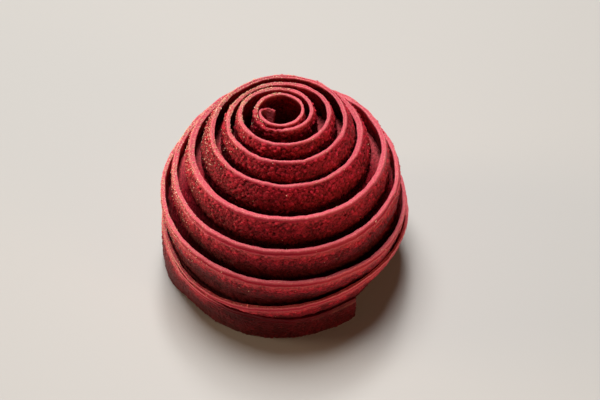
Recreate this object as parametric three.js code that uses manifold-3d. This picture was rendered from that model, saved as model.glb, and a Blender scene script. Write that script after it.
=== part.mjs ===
// Individual entremet wrapped in one long velvet-coated ribbon.
//
// The cake is uncut, so it is one solid: a full dome, and round it a tall thin ribbon that
// winds outward and down from the open middle to a loose tail on the plate.
// Millimetres, +Z up. The front, where the tail ends, is towards -Y. The origin is at the
// middle of the flat base.

import * as THREE from 'three';
import { mergeVertices } from 'three/addons/utils/BufferGeometryUtils.js';
import Module from 'manifold-3d';

// The ribbon's path. Its place along the winding is counted in turns: 0 is where it leaves
// the inner hook, on the left of the hole, and it winds left, front, right, back.
const TAIL_TURN = 9.35;
const RIM_RADIUS = [
  [0, 6.1], [0.5, 6.2], [1, 7.1], [1.5, 8.8], [1.75, 9.8], [2, 11.5], [2.5, 13.9], [2.75, 14.1],
  [3, 15.1], [3.5, 18.7], [3.75, 19.7], [4, 20.1], [4.5, 23.2], [5, 26.5], [5.5, 30.4], [6, 32.2],
  [6.4, 34.5], [6.5, 34.5], [7, 36.5], [7.25, 37.5], [7.42, 37.7], [7.5, 37.2], [7.65, 37.3],
  [8, 37.7], [8.05, 37.3], [8.12, 38.0], [8.25, 38.0], [8.35, 37.8], [8.5, 38.3], [8.75, 38.4],
  [9, 37.6], [9.05, 37.2], [9.1, 37.9], [9.18, 37.6], [9.25, 35.8], [9.5, 35.9],
];
const RIM_HEIGHT = [
  [0, 62.0], [0.5, 62.5], [1, 62.6], [1.5, 61.8], [1.75, 61.5], [2, 62.1], [2.5, 60.4],
  [2.75, 59.5], [3, 59.1], [3.5, 57.5], [3.75, 57.0], [4, 55.3], [4.5, 51.4], [5, 48.6],
  [5.5, 45.2], [6, 40.3], [6.5, 37.4], [7, 32.1], [7.5, 25.6], [8, 18.0], [8.06, 17.9],
  [8.15, 16.5], [8.25, 18.0], [8.35, 19.9], [8.5, 19.0], [8.75, 17.6], [9, 16.4], [9.1, 15.0],
  [9.15, 14.1], [9.2, 12.3], [9.25, 9.6], [9.35, 9.9], [9.5, 9.9],
];

// The middle of the turns lies off the axis at the top and is back on it at the base turn.
const TOP_SHIFT_X = 0.64;
const TOP_SHIFT_Y = -0.14;
const BASE_TURN = 9;

// The inner end crosses the hole as a short flap, then turns back sharply into the first turn.
// Its places count up from turn -1. Its rim rises to the first turn's over its first share.
const HOOK_PLAN = [[-1.0, 1.1], [-2.7, 1.9], [-4.5, 1.8], [-5.6, 0.4], [-5.5, -1.5]];
const HOOK_TURN = -1;
const HOOK_STEPS = 12;
const HOOK_RIM_START = 61.0;
const HOOK_RIM_END = 62.0;
const HOOK_RISE_SHARE = 2 / 3;
const HOOK_JOIN_TURNS = [0.1, 0.15];

// The ribbon's wall: how far its face leans outward per millimetre of depth at the rim, how
// fast it curls back in, how thick it is, and how deep it runs. The flap is a shallow ramp, and
// the last turns run down only to the rim of the turn below.
const LEAN = [
  [-1, -0.5], [-0.6, -0.45], [-0.3, 0], [0, 0.05], [1, 0.2], [2, 0.41], [3, 0.49], [4, 0.63],
  [5, 0.42], [6, 0.29], [7, 0.2], [7.5, -0.02], [8.9, 0], [9, 0.1], [9.05, 0.07], [9.1, -0.12],
  [9.25, -0.03], [9.5, -0.03],
];
const CURL = [
  [0, 0.003], [1, 0.014], [2, 0.03], [7.75, 0.03], [8.15, 0.03], [8.25, 0.026], [8.35, 0.021],
  [8.42, 0.038], [8.75, 0.003], [9.5, 0.003],
];
const THICKNESS = [[0, 0.95], [2, 1.05], [4, 1.3], [5, 1.8], [6, 1.35], [7, 1.15], [8, 1.05],
  [9.5, 1.05]];
const WALL_DEPTH = [
  [-0.6, 6.5], [-0.3, 13], [7.5, 13], [7.65, 4.3], [7.7, 3], [7.8, 2], [7.9, 1.3], [8, 1.1],
  [8.15, 1.6], [8.18, 2.2], [8.25, 8], [8.37, 10], [8.5, 13], [8.75, 18], [9.5, 18],
];
const RIM_ROUND = 0.3;
const OUTER_FACE_DEPTHS = [0.3, 0.65];
const INNER_FACE_DEPTHS = [0.65, 0.3];

// Near the tail the foot of the wall spreads inward over the plate to meet the dome.
const FOOT_SPREAD = [[0, 0], [8.84, 0], [8.9, 9], [9.5, 9]];
const FOOT_HEIGHT = 2.5;

// Steps along one turn: few round the small turns at the top, more on the wide ones.
const STEPS_PER_TURN = [[0, 22], [2, 26], [4, 34], [6, 38], [9.5, 38]];

// The dome that fills the cake behind the ribbon, as radius and height from the floor of the
// hole out and down to the base, and the smooth round of its steps.
const DOME_PROFILE = [
  [0, 48], [5, 48.2], [9.5, 50], [14.5, 50], [19.5, 47.6], [24.5, 43], [27, 41.5], [29.5, 38.5],
  [31.5, 35.5], [34.2, 30], [35.5, 25], [36, 20], [36.1, 13.4], [34.6, 11], [33, 7.5], [31.5, 4],
  [30, 0], [0, 0],
];
const DOME_SIDES = 48;

const VELVET_RED = 0x8f1f2b;

const wasm = await Module();
wasm.setup();

// A smooth value along the turns, from a short table of [turn, value].
function smoothTable(table) {
  const turns = table.map((row) => row[0]);
  const values = table.map((row) => row[1]);
  const interpolant = new THREE.CubicInterpolant(turns, values, 1, new Float32Array(1));
  return (turn) => interpolant.evaluate(turn)[0];
}

// A value that runs straight between the table's rows.
function straightTable(table) {
  const turns = table.map((row) => row[0]);
  const values = table.map((row) => row[1]);
  const interpolant = new THREE.LinearInterpolant(turns, values, 1, new Float32Array(1));
  return (turn) => interpolant.evaluate(turn)[0];
}

const rimRadius = smoothTable(RIM_RADIUS);
const rimHeight = smoothTable(RIM_HEIGHT);
const wallLean = smoothTable(LEAN);
const wallCurl = straightTable(CURL);
const wallThickness = straightTable(THICKNESS);
const wallDepth = straightTable(WALL_DEPTH);
const footSpread = straightTable(FOOT_SPREAD);
const stepsPerTurn = straightTable(STEPS_PER_TURN);

function spiralPoint(turn) {
  const angle = Math.PI + turn * 2 * Math.PI;
  const towardsTop = 1 - turn / BASE_TURN;
  const radius = rimRadius(turn);
  const x = TOP_SHIFT_X * towardsTop + radius * Math.cos(angle);
  const y = TOP_SHIFT_Y * towardsTop + radius * Math.sin(angle);
  return new THREE.Vector3(x, y, rimHeight(turn));
}

// The rim line from the end of the flap to the tail, each point with its place in turns.
function ribbonStations() {
  const hook = HOOK_PLAN.map(([x, y]) => new THREE.Vector3(x, y, 0));
  hook.push(...HOOK_JOIN_TURNS.map((turn) => spiralPoint(turn).setZ(0)));
  const hookCurve = new THREE.CatmullRomCurve3(hook);
  const hookEnd = HOOK_PLAN.length / (hook.length - 1);
  const stations = [];
  for (let step = 0; step < HOOK_STEPS; step += 1) {
    const share = step / HOOK_STEPS;
    const risen = Math.min(1, share / HOOK_RISE_SHARE);
    const point = hookCurve.getPoint(share * hookEnd);
    point.z = THREE.MathUtils.lerp(HOOK_RIM_START, HOOK_RIM_END, risen);
    stations.push({ point, turn: THREE.MathUtils.lerp(HOOK_TURN, HOOK_JOIN_TURNS[0], share) });
  }
  let turn = HOOK_JOIN_TURNS[0];
  while (turn < TAIL_TURN) {
    stations.push({ point: spiralPoint(turn), turn });
    turn += 1 / stepsPerTurn(turn);
  }
  stations.push({ point: spiralPoint(TAIL_TURN), turn: TAIL_TURN });
  return stations;
}

// One cross-section of the wall as [outward, up] pairs from the middle of the rim: over the
// rounded rim, down the outer face, across the foot and up the inner face.
function wallSection(turn, height) {
  const lean = wallLean(turn);
  const curl = wallCurl(turn);
  const half = wallThickness(turn) / 2;
  const depth = Math.min(wallDepth(turn), height);
  const facePoint = (below, side) => {
    const slope = lean - 2 * curl * below;
    const length = Math.hypot(1, slope);
    const outward = lean * below - curl * below * below + side / length;
    return [outward, Math.max(-below + (side * slope) / length, -height)];
  };
  const footOuter = [facePoint(depth, half)[0], -depth];
  const footInner = [facePoint(depth, -half)[0] - footSpread(turn), -depth];
  const innerFace = INNER_FACE_DEPTHS.map((share) => facePoint(share * depth, -half));
  if (footSpread(turn) > 0) {
    innerFace[0] = facePoint(depth - FOOT_HEIGHT, -half);
  }
  return [
    facePoint(0, half - RIM_ROUND),
    facePoint(RIM_ROUND, half),
    ...OUTER_FACE_DEPTHS.map((share) => facePoint(share * depth, half)),
    footOuter,
    footInner,
    ...innerFace,
    facePoint(RIM_ROUND, -half),
    facePoint(0, RIM_ROUND - half),
  ];
}

function ribbonGeometry() {
  const stations = ribbonStations();
  const positions = [];
  const corners = [];
  let sectionSize = 0;
  stations.forEach(({ point, turn }, index) => {
    const before = stations[Math.max(index - 1, 0)].point;
    const after = stations[Math.min(index + 1, stations.length - 1)].point;
    const along = new THREE.Vector2(after.x - before.x, after.y - before.y).normalize();
    const section = wallSection(turn, point.z);
    sectionSize = section.length;
    section.forEach(([outward, up]) => {
      positions.push(point.x + along.y * outward, point.y - along.x * outward, point.z + up);
    });
    if (index === 0) return;
    const low = (index - 1) * sectionSize;
    const high = index * sectionSize;
    for (let i = 0; i < sectionSize; i += 1) {
      const j = (i + 1) % sectionSize;
      corners.push(low + i, low + j, high + i, low + j, high + j, high + i);
    }
  });
  // Each end is closed as a strip between the outer face and the inner face.
  const last = (stations.length - 1) * sectionSize;
  for (let i = 0, j = sectionSize - 1; i + 1 < j; ) {
    corners.push(i, j, i + 1, last + i, last + i + 1, last + j);
    i += 1;
    if (i + 1 < j) {
      corners.push(i, j, j - 1, last + i, last + j - 1, last + j);
      j -= 1;
    }
  }
  const geometry = new THREE.BufferGeometry();
  geometry.setAttribute('position', new THREE.Float32BufferAttribute(positions, 3));
  geometry.setIndex(corners);
  return geometry;
}

function domeGeometry() {
  const corners = DOME_PROFILE.map(([radius, height]) => new THREE.Vector2(radius, height));
  const geometry = new THREE.LatheGeometry(corners.reverse(), DOME_SIDES);
  return geometry.rotateX(Math.PI / 2);
}

function toSolid(geometry) {
  geometry.deleteAttribute('normal');
  geometry.deleteAttribute('uv');
  const merged = mergeVertices(geometry);
  const mesh = new wasm.Mesh({
    numProp: 3,
    vertProperties: merged.attributes.position.array,
    triVerts: new Uint32Array(merged.index.array),
  });
  return new wasm.Manifold(mesh);
}

function fromSolid(solid) {
  const mesh = solid.getMesh();
  const geometry = new THREE.BufferGeometry();
  geometry.setAttribute('position', new THREE.BufferAttribute(mesh.vertProperties, 3));
  geometry.setIndex(new THREE.BufferAttribute(mesh.triVerts, 1));
  return geometry;
}

// The origin is moved to the middle of the base.
function centreOnBase(geometry) {
  geometry.computeBoundingBox();
  const middle = geometry.boundingBox.getCenter(new THREE.Vector3());
  return geometry.translate(-middle.x, -middle.y, -geometry.boundingBox.min.z);
}

const cake = toSolid(domeGeometry()).add(toSolid(ribbonGeometry()));
const entremet = new THREE.Mesh(
  centreOnBase(fromSolid(cake)),
  new THREE.MeshStandardMaterial({ color: VELVET_RED, roughness: 0.8, metalness: 0 }),
);
entremet.name = 'entremet';

const group = new THREE.Group();
group.add(entremet);

export default group;
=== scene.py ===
"""An entremet for one: a domed mousse cake wrapped in one long velvet-coated ribbon.

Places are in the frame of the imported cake: +Z up, the origin at the middle of the base, the loose tail
of the ribbon at the front, towards -Y. Sizes are in millimetres, and are turned to metres where a mesh,
light or camera is made.
"""

import math

import bpy
import numpy as np
from mathutils import Matrix, Vector, noise


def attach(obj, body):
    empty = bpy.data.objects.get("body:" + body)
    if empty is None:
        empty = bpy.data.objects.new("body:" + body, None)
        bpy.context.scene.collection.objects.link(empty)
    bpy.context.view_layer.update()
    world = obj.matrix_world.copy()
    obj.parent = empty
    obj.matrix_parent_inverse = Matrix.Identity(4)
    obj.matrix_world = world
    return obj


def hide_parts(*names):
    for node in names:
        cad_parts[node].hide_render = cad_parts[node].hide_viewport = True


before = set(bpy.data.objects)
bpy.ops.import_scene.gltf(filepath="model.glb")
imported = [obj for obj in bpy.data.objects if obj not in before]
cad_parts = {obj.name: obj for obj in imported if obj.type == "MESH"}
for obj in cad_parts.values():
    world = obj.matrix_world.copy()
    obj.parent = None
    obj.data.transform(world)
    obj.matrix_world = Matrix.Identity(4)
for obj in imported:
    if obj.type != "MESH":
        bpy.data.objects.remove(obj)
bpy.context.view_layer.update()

MM = 0.001

# The ribbon's path. Its place along the winding is counted in turns: 0 is where it leaves the inner
# hook, on the left of the hole, and it winds left, front, right, back.
TAIL_TURN = 9.35
RIM_RADIUS = [
    (0, 6.1), (0.5, 6.2), (1, 7.1), (1.5, 8.8), (1.75, 9.8), (2, 11.5), (2.5, 13.9), (2.75, 14.1),
    (3, 15.1), (3.5, 18.7), (3.75, 19.7), (4, 20.1), (4.5, 23.2), (5, 26.5), (5.5, 30.4),
    (6, 32.2), (6.4, 34.5), (6.5, 34.5), (7, 36.5), (7.25, 37.5), (7.42, 37.7), (7.5, 37.2),
    (7.65, 37.3), (8, 37.7), (8.05, 37.3), (8.12, 38.0), (8.25, 38.0), (8.35, 37.8), (8.5, 38.3),
    (8.75, 38.4), (9, 37.6), (9.05, 37.2), (9.1, 37.9), (9.18, 37.6), (9.25, 35.8), (9.5, 35.9),
]
RIM_HEIGHT = [
    (0, 62.0), (0.5, 62.5), (1, 62.6), (1.5, 61.8), (1.75, 61.5), (2, 62.1), (2.5, 60.4),
    (2.75, 59.5), (3, 59.1), (3.5, 57.5), (3.75, 57.0), (4, 55.3), (4.5, 51.4), (5, 48.6),
    (5.5, 45.2), (6, 40.3), (6.5, 37.4), (7, 32.1), (7.5, 25.6), (8, 18.0), (8.06, 17.9),
    (8.15, 16.5), (8.25, 18.0), (8.35, 19.9), (8.5, 19.0), (8.75, 17.6), (9, 16.4), (9.1, 15.0),
    (9.15, 14.1), (9.2, 12.3), (9.25, 9.6), (9.35, 9.9), (9.5, 9.9),
]
TOP_SHIFT = (0.64, -0.14)
BASE_TURN = 9

# The inner end: a short flap across the hole, then a sharp turn back into the first turn. Its places
# count up from turn -1.
HOOK_PLAN = [(-1.0, 1.1), (-2.7, 1.9), (-4.5, 1.8), (-5.6, 0.4), (-5.5, -1.5)]
HOOK_TURN = -1
HOOK_RIM = (61.0, 62.0)
HOOK_RISE_SHARE = 2 / 3
HOOK_JOIN_TURNS = (0.1, 0.15)

# The ribbon's wall: outward lean of its face per millimetre of depth, inward curl, thickness, depth.
# The flap is a shallow ramp, and the last turns run down only to the rim of the turn below.
LEAN = [
    (-1, -0.5), (-0.6, -0.45), (-0.3, 0), (0, 0.05), (1, 0.2), (2, 0.41), (3, 0.49), (4, 0.63),
    (5, 0.42), (6, 0.29), (7, 0.2), (7.5, -0.02), (8.9, 0), (9, 0.1), (9.05, 0.07), (9.1, -0.12),
    (9.25, -0.03), (9.5, -0.03),
]
CURL = [
    (0, 0.003), (1, 0.014), (2, 0.03), (7.75, 0.03), (8.15, 0.03), (8.25, 0.026), (8.35, 0.021),
    (8.42, 0.038), (8.75, 0.003), (9.5, 0.003),
]
THICKNESS = [(0, 0.95), (2, 1.05), (4, 1.3), (5, 1.8), (6, 1.35), (7, 1.15), (8, 1.05), (9.5, 1.05)]
WALL_DEPTH = [
    (-0.6, 6.5), (-0.3, 13), (7.5, 13), (7.65, 4.3), (7.7, 3), (7.8, 2), (7.9, 1.3), (8, 1.1),
    (8.15, 1.6), (8.18, 2.2), (8.25, 8), (8.37, 10), (8.5, 13), (8.75, 18), (9.5, 18),
]
FULL_DEPTH = 18

# The cut edge of the ribbon: its rounded corners, the shallow dish between them, and the smooth band
# that it leaves down the outer face. On the wide turns that band is a groove with a thin bead below.
EDGE_ROUND = 0.33
EDGE_DISH = 0.06
EDGE_BAND = [(-1, 0.1), (0.5, 0.2), (4.5, 0.3), (5.2, 0.6), (6, 1.3), (9.5, 1.3)]
BAND_FADE = 0.35
EDGE_FADE = 0.3
GROOVE_SHARE = [(5.4, 0), (6, 1), (9.5, 1)]
GROOVE = (0.80, 0.32, -0.20)
BEAD = (1.35, 0.16, 0.18)

# The edge wanders, rises and falls a little. On the first turn a stretch of it is torn, and the flap
# is torn all along its top.
EDGE_WAVES = [(9.0, 0.18), (2.4, 0.14), (1.1, 0.12)]
EDGE_MOST_RISE = 0.25
SIDE_WAVES = [(14, 0.25), (2.6, 0.10)]
THICKNESS_WAVE = (5, 0.22)
TORN_TURNS = (0.97, 1.27)
TORN_DROP = 1.0
TORN_CRUMB = 0.9
TORN_FADE = 0.6
FLAP_END = -0.45
FLAP_TEAR = 0.2

# The dome behind the ribbon, as radius and height from the floor of the hole out and down.
DOME_PROFILE = [
    (0, 48), (5, 48.2), (9.5, 50), (14.5, 50), (19.5, 47.6), (24.5, 43), (27, 41.5), (29.5, 38.5),
    (31.5, 35.5), (34.2, 30), (35.5, 25), (36, 20), (36.1, 13.4), (34.6, 11), (33, 7.5), (31.5, 4),
    (30, 0),
]
DOME_SIDES = 300
DOME_WIDTH = 36
DOME_STEP = 0.7
# Painted light and shade on the gap floors: spray value in the middle, its rise towards the back, its
# most.
DOME_PAINTED_LIGHT = (0.8, 1.3, 0.9)

# The ribbon is meshed in lengths, each with its first and last turn.
RIBBON_LENGTHS = [
    ("ribbon_crown", HOOK_TURN, 3.2),
    ("ribbon_shoulder", 3.2, 5.4),
    ("ribbon_waist", 5.4, 6.9),
    ("ribbon_skirt", 6.9, 8.2),
    ("ribbon_tail", 8.2, TAIL_TURN),
]
ALONG_STEP = 0.30
EDGE_STEP = 0.16
OUTER_STEP = 0.28
INNER_STEP = 0.5
DEEP_STEP = 1.0
EDGE_DEPTH = 1.9
FINE_DEPTH = 8.8
CORNER_STEPS = 3
DISH_STEPS = 5
TAIL_CORNER = 1.2
LEAST_WALL = 0.3
ROW_GAP = 0.02

# The velvet: sprayed cocoa butter that froze into lumps as it landed, with crumbs on them, over
# gentle swells. A lump's top stands proud by a least share of its height and a random rest, and falls
# off from its middle. The lumps are lowest on the lowest turns and on the inner faces.
LUMP_SIZE = 1.0
LUMP_HEIGHT = 0.40
LUMP_PROUD = (0.35, 1.1)
LUMP_FALL = 2.4
CRUMB_SIZE = 0.55
CRUMB_HEIGHT = 0.16
CRUMB_FALL = 3.0
SWELL_SIZE = 4.5
SWELL_HEIGHT = 0.16
LUMP_BY_TURN = [(-1, 0.8), (0, 0.8), (1, 1.0), (5, 1.0), (6.5, 0.7), (7, 0.5), (8, 0.4), (9.5, 0.5)]
EDGE_LUMPS = 0.14
EDGE_RELIEF = 0.35
INNER_LUMPS = 0.35

# How much of the dry top coat of the spray lies on each turn, and how deep below the rim it thins out. It
# is partly a real dusty coat and partly painted light and shade: most just under the rims and on the lower
# turns, as painted light, less down the faces and on the upper turns, as painted shade, and none on the
# tail, which is tucked in under the turn above and is painted dark as shade.
SPRAY_AND_LIGHT_BY_TURN = [(-1, 0.9), (0, 0.6), (4.5, 0.48), (5.5, 0.65), (6.5, 1), (9.08, 1), (9.17, 0), (9.5, 0)]
SPRAY_AND_LIGHT_DEPTH = [(-1, 6.0), (5, 6.0), (6, 4.2), (9.5, 4.2)]

# Small crystals of the cocoa butter that glint on the faces and edges, most on the left at the back, each
# some way below the rim, or on top of it where that is less than nothing. Their pale gold and their
# gathering on the lit side are painted glints.
CRYSTAL_COUNT = 9000
CRYSTAL_SIZES = (0.20, 0.55)
CRYSTAL_TURNS = (0.2, 9.12)
CRYSTAL_FADE_TURNS = 0.35
CRYSTAL_DEPTHS = (-2.5, 7.0)
CRYSTAL_LIT_SIDE = 0.9
CRYSTAL_FEWEST = 0.008
CRYSTAL_GATHER = 1.5
CRYSTAL_SQUASH = (0.6, 1.1)
CRYSTAL_SEED = 7

# The camera: its height angle, the tilt of its frame, its distance, aim and lens.
CAMERA_HEIGHT = math.radians(47.73)
CAMERA_TILT = math.radians(2.06)
CAMERA_DISTANCE = 480
CAMERA_AIM = (5.18, 0.0, 22.87)
CAMERA_LENS = 92.9


def smooth_table(table):
    """A smooth value along the turns; at each row its slope is the mean of the two straight runs."""
    places, values = np.array(table, float).T
    runs = np.diff(values) / np.diff(places)
    slopes = np.concatenate([runs[:1], (runs[:-1] + runs[1:]) / 2, runs[-1:]])

    def value(place):
        row = np.clip(np.searchsorted(places, place, side="right") - 1, 0, len(runs) - 1)
        step = places[row + 1] - places[row]
        part = (place - places[row]) / step
        rise = (values[row + 1] - values[row]) * part * part * (3 - 2 * part)
        start = part * (1 - part) ** 2 * step * slopes[row]
        end = part * part * (part - 1) * step * slopes[row + 1]
        return values[row] + rise + start + end

    return value


def straight_table(table):
    """A value that runs straight between the table's rows."""
    places, values = np.array(table, float).T
    return lambda place: np.interp(place, places, values)


rim_radius = smooth_table(RIM_RADIUS)
rim_height = smooth_table(RIM_HEIGHT)
wall_lean = smooth_table(LEAN)
wall_curl = straight_table(CURL)
wall_thickness = straight_table(THICKNESS)
wall_depth = straight_table(WALL_DEPTH)
lump_share = straight_table(LUMP_BY_TURN)
edge_band = straight_table(EDGE_BAND)
groove_share = straight_table(GROOVE_SHARE)
spray_and_light_share = straight_table(SPRAY_AND_LIGHT_BY_TURN)
spray_and_light_depth = straight_table(SPRAY_AND_LIGHT_DEPTH)


def ripple(places, size, seed=0):
    """Gentle random ups and downs between -1 and 1, about one to each size."""
    return np.array([noise.noise((place / size, 0.37 * seed, 5.1 * seed)) for place in places])


def spiral_points(turn):
    """Points of the rim line on the spiral."""
    angle = math.pi + turn * 2 * math.pi
    towards_top = 1 - turn / BASE_TURN
    radius = rim_radius(turn)
    x = TOP_SHIFT[0] * towards_top + radius * np.cos(angle)
    y = TOP_SHIFT[1] * towards_top + radius * np.sin(angle)
    return np.stack([x, y, rim_height(turn)], axis=-1)


def rim_line():
    """The whole rim line in fine steps: its points, its turns and the length up to each point."""
    join = spiral_points(np.array(HOOK_JOIN_TURNS))
    plan = np.vstack([np.array(HOOK_PLAN), join[:, :2]])
    place = np.linspace(0, len(HOOK_PLAN), 600, endpoint=False)
    along_x = smooth_table(list(enumerate(plan[:, 0])))
    along_y = smooth_table(list(enumerate(plan[:, 1])))
    risen = np.minimum(1, place / len(HOOK_PLAN) / HOOK_RISE_SHARE)
    height = HOOK_RIM[0] + (HOOK_RIM[1] - HOOK_RIM[0]) * risen
    hook = np.stack([along_x(place), along_y(place), height], axis=-1)
    turns = np.arange(HOOK_JOIN_TURNS[0], TAIL_TURN + 1e-6, 0.0005)
    points = np.vstack([hook, spiral_points(turns)])
    hook_turns = HOOK_TURN + place / len(HOOK_PLAN) * (HOOK_JOIN_TURNS[0] - HOOK_TURN)
    steps = np.linalg.norm(np.diff(points, axis=0), axis=1)
    return points, np.concatenate([hook_turns, turns]), np.concatenate([[0], np.cumsum(steps)])


def outward_of(points):
    """The level direction outward at each point, square to the rim line."""
    along = np.gradient(points[:, :2], axis=0)
    along /= np.linalg.norm(along, axis=1)[:, None]
    return np.stack([along[:, 1], -along[:, 0]], axis=-1)


RIM_POINTS, RIM_TURNS, RIM_RUN = rim_line()
RIM_OUTWARD = outward_of(RIM_POINTS)


def stations(run):
    """What the wall needs at each length along the ribbon: point, turn and outward direction."""
    point = np.stack([np.interp(run, RIM_RUN, RIM_POINTS[:, i]) for i in range(3)], axis=-1)
    outward = np.stack([np.interp(run, RIM_RUN, RIM_OUTWARD[:, i]) for i in range(2)], axis=-1)
    return point, np.interp(run, RIM_RUN, RIM_TURNS), outward


def wall_points(point, turn, outward, depth, across):
    """Points of the wall, at a depth below the rim and across from the middle of its thickness."""
    lean = wall_lean(turn)
    curl = wall_curl(turn)
    slope = lean - 2 * curl * depth
    length = np.hypot(1, slope)
    out = lean * depth - curl * depth * depth + across / length
    height = np.maximum(point[..., 2] - depth + across * slope / length, 0)
    level = point[..., :2] + outward * out[..., None]
    return np.concatenate([level, height[..., None]], axis=-1)


def wall_middle():
    """The middle of the whole wall in plan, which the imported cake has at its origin."""
    shape = (RIM_POINTS, RIM_TURNS, RIM_OUTWARD)
    half = wall_thickness(RIM_TURNS) / 2
    full = np.minimum(wall_depth(RIM_TURNS), RIM_POINTS[:, 2])
    shares = np.linspace(0, 1, 12)
    faces = [wall_points(*shape, EDGE_ROUND + share * (full - EDGE_ROUND), half) for share in shares]
    low = np.min([face.min(axis=0) for face in faces], axis=0)
    high = np.max([face.max(axis=0) for face in faces], axis=0)
    return (low[:2] + high[:2]) / 2


MIDDLE = np.append(wall_middle(), 0)


def velvet_relief(points, share):
    """Height of the velvet's lumps, crumbs and swells at each point, in millimetres."""
    height = np.empty(len(points))
    least_proud, random_proud = LUMP_PROUD
    for i, (x, y, z) in enumerate(points):
        gaps, centres = noise.voronoi((x / LUMP_SIZE, y / LUMP_SIZE, z / LUMP_SIZE))
        proud = least_proud + random_proud * noise.cell(centres[0] * 7.3)
        crumb = noise.voronoi((x / CRUMB_SIZE, y / CRUMB_SIZE, z / CRUMB_SIZE))[0][0]
        lumps = LUMP_HEIGHT * proud * (1 - LUMP_FALL * gaps[0] ** 2)
        lumps += CRUMB_HEIGHT * (1 - CRUMB_FALL * crumb ** 2)
        swell = noise.noise((x / SWELL_SIZE, y / SWELL_SIZE, z / SWELL_SIZE))
        height[i] = lumps * share[i] + swell * SWELL_HEIGHT
    return height


def new_mesh(name, points, faces, values):
    """A smooth mesh object of points in millimetres, with one named value on each point."""
    mesh = bpy.data.meshes.new(name)
    mesh.from_pydata(((points - MIDDLE) * MM).tolist(), [], faces)
    for value_name, numbers in values.items():
        mesh.attributes.new(value_name, "FLOAT", "POINT").data.foreach_set("value", numbers)
    mesh.shade_smooth()
    piece = bpy.data.objects.new(name, mesh)
    bpy.context.collection.objects.link(piece)
    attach(piece, "root")
    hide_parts("entremet")
    return piece


def wall_rows():
    """The rows round the wall's section: share of its depth, depth in the edge, side and offset.

    They run up the outer face, over the edge and down the inner face.
    """
    deepest = FULL_DEPTH - EDGE_ROUND

    def down(*steps):
        starts = [0, EDGE_DEPTH, FINE_DEPTH, deepest]
        parts = [np.arange(starts[i], starts[i + 1], step) for i, step in enumerate(steps)]
        return np.append(np.concatenate(parts)[1:], deepest) / deepest

    rows = [(share, EDGE_ROUND, 1, EDGE_ROUND) for share in down(EDGE_STEP, OUTER_STEP, DEEP_STEP)[::-1]]
    for angle in np.linspace(0, math.pi / 2, CORNER_STEPS + 1):
        rows.append((0, EDGE_ROUND * (1 - math.sin(angle)), 1, EDGE_ROUND * math.cos(angle)))
    for side in np.linspace(1, -1, DISH_STEPS + 2)[1:-1]:
        rows.append((0, EDGE_DISH * (1 - side * side), side, 0))
    for angle in np.linspace(math.pi / 2, 0, CORNER_STEPS + 1):
        rows.append((0, EDGE_ROUND * (1 - math.sin(angle)), -1, -EDGE_ROUND * math.cos(angle)))
    inner = down(INNER_STEP, INNER_STEP, DEEP_STEP)
    rows.extend((share, EDGE_ROUND, -1, -EDGE_ROUND) for share in inner)
    return np.array(rows).T


def torn(turn, run):
    """How torn the edge is, between 0 and about 1, and how far it has dropped there."""
    start, end = TORN_TURNS
    part = np.clip((turn - start) / (end - start), 0, 1)
    ragged = ripple(run, TORN_CRUMB, seed=3)
    stretch = np.sin(part * math.pi) ** TORN_FADE
    flap = np.clip((FLAP_END - turn) * 12, 0, 1)
    drop = stretch * (0.7 + 0.6 * ragged) * TORN_DROP + flap * (0.5 + ragged) * FLAP_TEAR
    return np.maximum(stretch, flap), drop


def tail_rounding(run):
    """How much shallower the wall is at its very end, where the tail's lower corner is round."""
    to_end = np.clip(TAIL_CORNER - (RIM_RUN[-1] - run), 0, TAIL_CORNER)
    return TAIL_CORNER - np.sqrt(TAIL_CORNER ** 2 - to_end ** 2)


def hump(depth, shape):
    """A low ridge or groove along the wall, of the given depth, width and height."""
    middle, width, height = shape
    return height * np.exp(-(((depth - middle) / width) ** 2))


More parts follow.
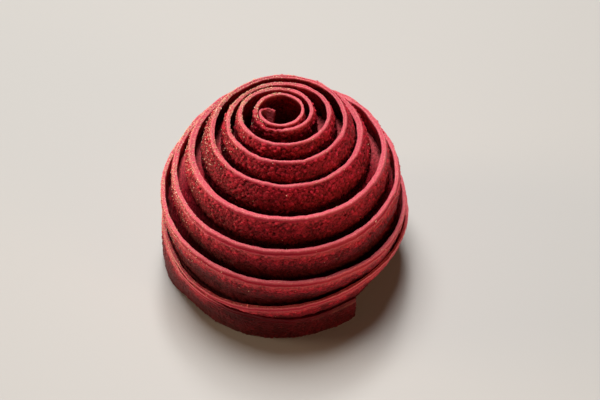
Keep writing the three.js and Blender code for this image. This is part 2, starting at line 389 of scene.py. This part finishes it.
def ribbon_length(name, first_turn, last_turn):
    """One length of the ribbon: its wall with the velvet's relief and the wavering cut edge."""
    start, end = np.interp([first_turn, last_turn], RIM_TURNS, RIM_RUN)
    run = np.linspace(start, end, int((end - start) / ALONG_STEP) + 1)
    point, turn, outward = stations(run)
    tear, drop = torn(turn, run)
    waver = sum(height * ripple(run, size, seed) for seed, (size, height) in enumerate(EDGE_WAVES))
    edge_drop = np.maximum(drop + waver, -EDGE_MOST_RISE)
    bend = sum(width * ripple(run, size, seed=11) for size, width in SIDE_WAVES)
    wave_size, wave_share = THICKNESS_WAVE
    half = wall_thickness(turn) / 2 * (1 + wave_share * ripple(run, wave_size, seed=8))
    full_depth = np.minimum(wall_depth(turn), point[:, 2]) - tail_rounding(run)

    share, edge_depth, side, offset = wall_rows()
    grid = (len(run), len(share))
    at = [np.repeat(values[:, None], grid[1], axis=1) for values in (point, turn, outward)]
    # A row keeps its depth below the edge where the wall is shallow, until the wall's foot.
    deep = np.maximum(full_depth - EDGE_ROUND - edge_drop, LEAST_WALL)[:, None]
    below = edge_drop[:, None]
    wanted = share * (FULL_DEPTH - EDGE_ROUND)
    reach = np.minimum(wanted, deep - ROW_GAP * (1 - share))
    depth = below + edge_depth + reach
    across = bend[:, None] + side * (half[:, None] - EDGE_ROUND) + offset
    flat = wall_points(*at, depth, across).reshape(-1, 3)

    band = edge_band(turn)[:, None]
    face = np.clip((reach - band) / BAND_FADE, 0, 1)
    face = np.maximum(face, tear[:, None])
    face = face * face * (3 - 2 * face)
    lumps = lump_share(turn)[:, None] * np.where(offset < 0, INNER_LUMPS, 1)
    relief = velvet_relief(flat, (lumps * (EDGE_LUMPS + (1 - EDGE_LUMPS) * face)).ravel())
    relief = relief.reshape(grid)
    ridges = (hump(reach, GROOVE) + hump(reach, BEAD)) * groove_share(turn)[:, None]
    across = across + np.where(offset > 0, relief + ridges * (share > 0), np.where(offset < 0, -relief, 0))
    depth = depth - np.where(share == 0, EDGE_RELIEF * relief, 0)
    points = wall_points(*at, depth, across).reshape(-1, 3)

    faces = []
    rows = grid[1]
    for i in range(grid[0] - 1):
        a, b = i * rows, (i + 1) * rows
        faces.extend((a + j, b + j, b + (j + 1) % rows, a + (j + 1) % rows) for j in range(rows))
    faces.append(tuple(range(rows)))
    faces.append(tuple(range(grid[0] * rows - 1, (grid[0] - 1) * rows - 1, -1)))
    # The spray value paints light just under the rim and fades into painted shade down the face.
    spray_and_light = spray_and_light_share(turn)[:, None] * np.exp(-((reach / spray_and_light_depth(turn)[:, None]) ** 2))
    # The edge value paints the cut edge pink, partly its own smooth coat and partly painted light on the
    # rim's top; the bead gets a painted highlight line, and the tail's rim loses the pink as painted
    # shade.
    bright = np.clip(1 - reach / EDGE_FADE, 0, 1) * (1 - tear[:, None])
    bead_highlight = hump(reach, BEAD) / BEAD[2] * groove_share(turn)[:, None] * (offset > 0)
    values = {
        "edge": ((bright + 0.7 * bead_highlight) * np.clip(spray_and_light_share(turn)[:, None] * 3, 0, 1)).ravel(),
        "band": 1 - face.ravel(),
        # The lump value is the relief's height, which paints shade in the hollows and light on the tops.
        "lump": (relief / np.maximum(lumps, 0.25)).ravel() / LUMP_HEIGHT,
        "spray_and_light": spray_and_light.ravel(),
    }
    piece = new_mesh(name, points, faces, values)
    for end_face in piece.data.polygons[-2:]:
        end_face.use_smooth = False
    return piece


def dome():
    """The cake behind the ribbon, which shows only at the bottom of the gaps and of the hole."""
    radius, height = np.array(DOME_PROFILE, float).T
    run = np.concatenate([[0], np.cumsum(np.hypot(np.diff(radius), np.diff(height)))])
    steps = np.linspace(0, run[-1], int(run[-1] / DOME_STEP))[1:]
    rings = np.stack([np.interp(steps, run, radius), np.interp(steps, run, height)], axis=-1)
    angles = np.arange(DOME_SIDES) * 2 * math.pi / DOME_SIDES
    level = rings[:, 0, None, None] * np.stack([np.cos(angles), np.sin(angles)], axis=-1)
    upright = np.repeat(rings[:, 1, None, None], DOME_SIDES, axis=1)
    points = np.concatenate([level, upright], axis=-1).reshape(-1, 3)
    relief = velvet_relief(points, np.full(len(points), 1.0))
    relief[-DOME_SIDES:] = 0
    push = points * [1, 1, 0.6] + [0, 0, 12]
    push /= np.linalg.norm(push, axis=1)[:, None]
    points = points + push * relief[:, None]
    points = np.vstack([points, [0, 0, height[0]], [0, 0, 0]])
    faces = []
    for j in range(DOME_SIDES):
        k = (j + 1) % DOME_SIDES
        faces.append((len(points) - 2, j, k))
        faces.extend(
            (i * DOME_SIDES + j, (i + 1) * DOME_SIDES + j, (i + 1) * DOME_SIDES + k, i * DOME_SIDES + k)
            for i in range(len(rings) - 1)
        )
        last = (len(rings) - 1) * DOME_SIDES
        faces.append((last + j, len(points) - 1, last + k))
    relief = np.append(relief, [0, 0])
    none = relief * 0
    # The floors of the gaps are painted light at the back, where the lights from behind fall,
    # and painted shade at the front and lower down.
    middle, towards_back, most = DOME_PAINTED_LIGHT
    painted_light_on_floors = np.clip(middle + towards_back * points[:, 1] / DOME_WIDTH, 0, most)
    painted_light_on_floors *= np.clip(points[:, 2] / DOME_WIDTH, 0, 1) ** 2
    values = {"edge": none, "band": none, "lump": relief / LUMP_HEIGHT, "spray_and_light": painted_light_on_floors}
    return new_mesh("cake_dome", points, faces, values)


# A crystal is a flat-sided grain of eight faces.
CRYSTAL_CORNERS = np.array([(1, 0, 0), (-1, 0, 0), (0, 1, 0), (0, -1, 0), (0, 0, 1), (0, 0, -1)], float)
CRYSTAL_FACES = [
    (x, y, z) if (x + y + z) % 2 == 0 else (x, z, y)
    for x in (0, 1) for y in (2, 3) for z in (4, 5)
]


def crystals():
    """The crystals, scattered over the outer faces and the edges and half sunk in them, most on the lit
    side as painted glints.
    """
    draw = np.random.default_rng(CRYSTAL_SEED)
    count = CRYSTAL_COUNT
    start, end = np.interp(CRYSTAL_TURNS, RIM_TURNS, RIM_RUN)
    places = np.linspace(start, end, 40000)
    turns = np.interp(places, RIM_RUN, RIM_TURNS)
    # The crystals gather most on the lit side, as painted glints.
    towards_lit_side = np.clip(np.cos((turns - CRYSTAL_LIT_SIDE) * 2 * math.pi), 0, 1)
    density = CRYSTAL_FEWEST + towards_lit_side ** CRYSTAL_GATHER
    density *= np.clip((CRYSTAL_TURNS[1] - turns) / CRYSTAL_FADE_TURNS, 0, 1)
    run = draw.choice(places, count, p=density / density.sum())
    depth = draw.uniform(*CRYSTAL_DEPTHS, count)
    point, turn, outward = stations(run)
    on_top = depth < 0
    half = wall_thickness(turn) / 2
    deepest = wall_depth(turn) - EDGE_ROUND
    depth = np.where(on_top, 0, np.minimum(depth * depth / CRYSTAL_DEPTHS[1], deepest))
    flat = wall_points(point, turn, outward, depth + EDGE_ROUND, half)
    relief = velvet_relief(flat, lump_share(turn) * (depth > edge_band(turn)))
    size = draw.uniform(*CRYSTAL_SIZES, count)
    across = np.where(on_top, draw.uniform(-0.8, 0.8, count) * half, half + relief + 0.05 * size)
    centre = wall_points(point, turn, outward, np.where(on_top, 0, depth + EDGE_ROUND), across)
    squash = draw.uniform(*CRYSTAL_SQUASH, (count, 6, 1))
    turned = np.linalg.qr(draw.normal(size=(count, 3, 3)))[0]
    turned[np.linalg.det(turned) < 0, :, 0] *= -1
    corners = np.einsum("nij,kj->nki", turned, CRYSTAL_CORNERS)
    corners = corners * squash * size[:, None, None] / 2
    points = (centre[:, None] + corners).reshape(-1, 3)
    points[:, 2] = np.maximum(points[:, 2], 0.02)
    faces = [tuple(6 * i + corner for corner in face) for i in range(count) for face in CRYSTAL_FACES]
    piece = new_mesh("butter_crystals_painted_glints", points, faces, {})
    piece.data.shade_flat()
    return piece


def linear(hex_colour):
    """An sRGB hex colour as linear red, green, blue and alpha."""
    parts = [int(hex_colour[i : i + 2], 16) / 255 for i in (1, 3, 5)]
    return tuple(p / 12.92 if p <= 0.04045 else ((p + 0.055) / 1.055) ** 2.4 for p in parts) + (1.0,)


def add_node(tree, kind, settings=(), inputs=()):
    """A shader node with its settings, and its inputs set to values or linked to other sockets."""
    made = tree.nodes.new(kind)
    for name, value in dict(settings).items():
        setattr(made, name, value)
    for name, value in dict(inputs).items():
        if isinstance(value, bpy.types.NodeSocket):
            tree.links.new(value, made.inputs[name])
        else:
            made.inputs[name].default_value = value
    return made


def sprayed_velvet():
    """Cocoa butter coloured deep red and sprayed on the frozen cake: lumps painted lighter on top and
    darker in the hollows between as painted shade, a dry dusting that is partly painted light, and a
    smooth pink cut edge, partly painted light on the rim's top, with pale specks on it that are painted
    glints."""
    material = bpy.data.materials.new("sprayed_cocoa_butter_velvet")
    material.use_nodes = True
    tree = material.node_tree
    tree.nodes.clear()
    place = add_node(tree, "ShaderNodeTexCoord").outputs["Object"]
    edge = add_node(tree, "ShaderNodeAttribute", {"attribute_name": "edge"}).outputs["Fac"]
    band = add_node(tree, "ShaderNodeAttribute", {"attribute_name": "band"}).outputs["Fac"]
    lump = add_node(tree, "ShaderNodeAttribute", {"attribute_name": "lump"}).outputs["Fac"]
    spray_and_light = add_node(tree, "ShaderNodeAttribute", {"attribute_name": "spray_and_light"}).outputs["Fac"]
    crumb = add_node(
        tree, "ShaderNodeTexVoronoi", {"feature": "F1"},
        {"Vector": place, "Scale": 1 / (0.6 * MM), "Randomness": 1.0},
    ).outputs["Distance"]
    fine = add_node(
        tree, "ShaderNodeTexNoise", {}, {"Vector": place, "Scale": 1 / (0.35 * MM), "Detail": 2.0},
    ).outputs["Fac"]
    # Painted shade and light by height: hollows between the lumps and crumbs are painted dark, their tops
    # light.
    lump_height_shade = add_node(
        tree, "ShaderNodeMapRange", {}, {"Value": lump, "From Min": -0.5, "From Max": 1.2},
    ).outputs["Result"]
    crumb_height_shade = add_node(
        tree, "ShaderNodeMapRange", {},
        {"Value": crumb, "From Min": 0.75, "From Max": 0.15, "To Min": -0.15, "To Max": 0.25},
    ).outputs["Result"]
    # More of the spray value paints the faces lighter as painted light; less leaves them dark as painted
    # shade.
    coat_and_light = add_node(
        tree, "ShaderNodeMapRange", {}, {"Value": spray_and_light, "From Max": 0.6, "To Min": 0.1, "To Max": 1.0},
    ).outputs["Result"]
    height_shade = add_node(
        tree, "ShaderNodeMath", {"operation": "ADD", "use_clamp": True}, {0: lump_height_shade, 1: crumb_height_shade},
    ).outputs[0]
    light_and_shade_tone = add_node(tree, "ShaderNodeMath", {"operation": "MULTIPLY"}, {0: height_shade, 1: coat_and_light}).outputs[0]
    pits_painted_shade = add_node(
        tree, "ShaderNodeMix", {"data_type": "RGBA"},
        {"Factor": coat_and_light, "A": linear("#300107"), "B": linear("#6c0517")},
    ).outputs["Result"]
    faces = add_node(
        tree, "ShaderNodeMix", {"data_type": "RGBA"},
        {"Factor": light_and_shade_tone, "A": pits_painted_shade, "B": linear("#e02842")},
    ).outputs["Result"]
    # The dusty rose is partly a real dry dust and partly painted light on the lit faces under the rims and
    # low down.
    dust_and_light = add_node(
        tree, "ShaderNodeMapRange", {}, {"Value": spray_and_light, "From Min": 0.5, "To Max": 0.7},
    ).outputs["Result"]
    dusted_and_lit = add_node(
        tree, "ShaderNodeMix", {"data_type": "RGBA"},
        {"Factor": dust_and_light, "A": faces, "B": linear("#dc666c")},
    ).outputs["Result"]
    # The cut edge's pink is partly its own smooth coat and partly painted light on the rim's top; the pale
    # specks on it are painted glints.
    speck_glint = add_node(
        tree, "ShaderNodeMapRange", {},
        {"Value": fine, "From Min": 0.50, "From Max": 0.68, "To Min": 0.0, "To Max": 0.45},
    ).outputs["Result"]
    cut = add_node(
        tree, "ShaderNodeMix", {"data_type": "RGBA"},
        {"Factor": speck_glint, "A": linear("#d85868"), "B": linear("#f6b0a2")},
    ).outputs["Result"]
    smooth_band = add_node(
        tree, "ShaderNodeMath", {"operation": "MULTIPLY"}, {0: band, 1: coat_and_light},
    ).outputs[0]
    banded = add_node(
        tree, "ShaderNodeMix", {"data_type": "RGBA"},
        {"Factor": smooth_band, "A": dusted_and_lit, "B": linear("#b4243e")},
    ).outputs["Result"]
    colour = add_node(
        tree, "ShaderNodeMix", {"data_type": "RGBA"}, {"Factor": edge, "A": banded, "B": cut},
    ).outputs["Result"]
    roughness = add_node(
        tree, "ShaderNodeMapRange", {}, {"Value": band, "To Min": 0.6, "To Max": 0.38},
    ).outputs["Result"]
    height = add_node(
        tree, "ShaderNodeMath", {"operation": "MULTIPLY_ADD"}, {0: crumb, 1: -1.0, 2: fine},
    ).outputs[0]
    softness = add_node(
        tree, "ShaderNodeMapRange", {}, {"Value": band, "To Min": 1.0, "To Max": 0.15},
    ).outputs["Result"]
    bump = add_node(
        tree, "ShaderNodeBump", {}, {"Strength": softness, "Distance": 0.2 * MM, "Height": height},
    ).outputs["Normal"]
    shader = add_node(
        tree, "ShaderNodeBsdfPrincipled", {},
        {
            "Base Color": colour,
            "Roughness": roughness,
            "IOR": 1.46,
            "Specular IOR Level": 0.3,
            "Specular Tint": linear("#ffc8c0"),
            "Sheen Weight": 0.05,
            "Sheen Roughness": 0.35,
            "Sheen Tint": linear("#ffb3a8"),
            "Normal": bump,
        },
    )
    add_node(tree, "ShaderNodeOutputMaterial", {}, {"Surface": shader.outputs["BSDF"]})
    return material


def glint_crystal():
    """Cocoa butter set dry on the velvet: small flat faces with a gloss that glints, pale gold as painted
    glints.
    """
    material = bpy.data.materials.new("set_cocoa_butter_crystal_painted_glint")
    material.use_nodes = True
    tree = material.node_tree
    place = add_node(tree, "ShaderNodeTexCoord").outputs["Object"]
    mixed = add_node(
        tree, "ShaderNodeTexNoise", {}, {"Vector": place, "Scale": 1 / (0.6 * MM), "Detail": 1.0},
    ).outputs["Fac"]
    colour = add_node(
        tree, "ShaderNodeMix", {"data_type": "RGBA"},
        {"Factor": mixed, "A": linear("#e88a64"), "B": linear("#fff0d0")},
    ).outputs["Result"]
    shader = tree.nodes["Principled BSDF"]
    tree.links.new(colour, shader.inputs["Base Color"])
    shader.inputs["Roughness"].default_value = 0.25
    shader.inputs["IOR"].default_value = 1.46
    return material


def pale_table():
    """The plain pale surface under the cake."""
    material = bpy.data.materials.new("honed_pale_stone")
    material.use_nodes = True
    shader = material.node_tree.nodes["Principled BSDF"]
    shader.inputs["Base Color"].default_value = linear("#bcbbb8")
    shader.inputs["Roughness"].default_value = 0.55
    mesh = bpy.data.meshes.new("table")
    reach = 3000 * MM
    corners = [(-reach, -reach, 0), (reach, -reach, 0), (reach, reach, 0), (-reach, reach, 0)]
    mesh.from_pydata(corners, [], [(0, 1, 2, 3)])
    mesh.materials.append(material)
    table = bpy.data.objects.new("table", mesh)
    bpy.context.collection.objects.link(table)


def camera():
    """The camera at the photograph's viewing angle, tilted a little as it was."""
    sine, cosine = math.sin(CAMERA_HEIGHT), math.cos(CAMERA_HEIGHT)
    back = Vector((0, -cosine, sine))
    right = Vector((1, 0, 0))
    up = Vector((0, sine, cosine))
    tilted_right = right * math.cos(CAMERA_TILT) - up * math.sin(CAMERA_TILT)
    tilted_up = right * math.sin(CAMERA_TILT) + up * math.cos(CAMERA_TILT)
    data = bpy.data.cameras.new("camera")
    data.lens = CAMERA_LENS
    made = bpy.data.objects.new("camera", data)
    turned = Matrix((tilted_right, tilted_up, back)).transposed().to_4x4()
    aim = Vector(CAMERA_AIM) - Vector(MIDDLE)
    made.matrix_world = Matrix.Translation((aim + back * CAMERA_DISTANCE) * MM) @ turned
    bpy.context.collection.objects.link(made)
    bpy.context.scene.camera = made


def soft_light(name, towards, distance, size, power, colour):
    """A round soft light that shines at the cake from the direction towards it."""
    data = bpy.data.lights.new(name, "AREA")
    data.shape = "DISK"
    data.size = size * MM
    data.energy = power
    data.color = linear(colour)[:3]
    made = bpy.data.objects.new(name, data)
    direction = Vector(towards).normalized()
    made.location = direction * distance * MM
    made.rotation_mode = "QUATERNION"
    made.rotation_quaternion = direction.to_track_quat("Z", "Y")
    bpy.context.collection.objects.link(made)


def lights():
    """Two soft keys from high behind, warm lights from low on the left and right, and dim surroundings."""
    soft_light("key", (-0.08, 0.34, 1.0), 1200, 640, 15.2, "#fffdfb")
    soft_light("second_key", (0.04, 0.66, 1.0), 1200, 200, 3.0, "#fffdfb")
    soft_light("low_right", (0.75, -0.65, 0.14), 900, 500, 3.8, "#ffcc9c")
    soft_light("low_left", (-1.0, 0.12, 0.10), 1000, 420, 9.5, "#ffe3c0")
    world = bpy.data.worlds.new("surroundings")
    world.use_nodes = True
    world.node_tree.nodes["Background"].inputs["Color"].default_value = linear("#f2efec")
    world.node_tree.nodes["Background"].inputs["Strength"].default_value = 0.015
    bpy.context.scene.world = world


def main():
    camera()
    velvet = sprayed_velvet()
    for piece in [ribbon_length(*length) for length in RIBBON_LENGTHS] + [dome()]:
        piece.data.materials.append(velvet)
    crystals().data.materials.append(glint_crystal())
    pale_table()
    lights()
    bpy.context.scene.view_settings.view_transform = "Standard"


main()
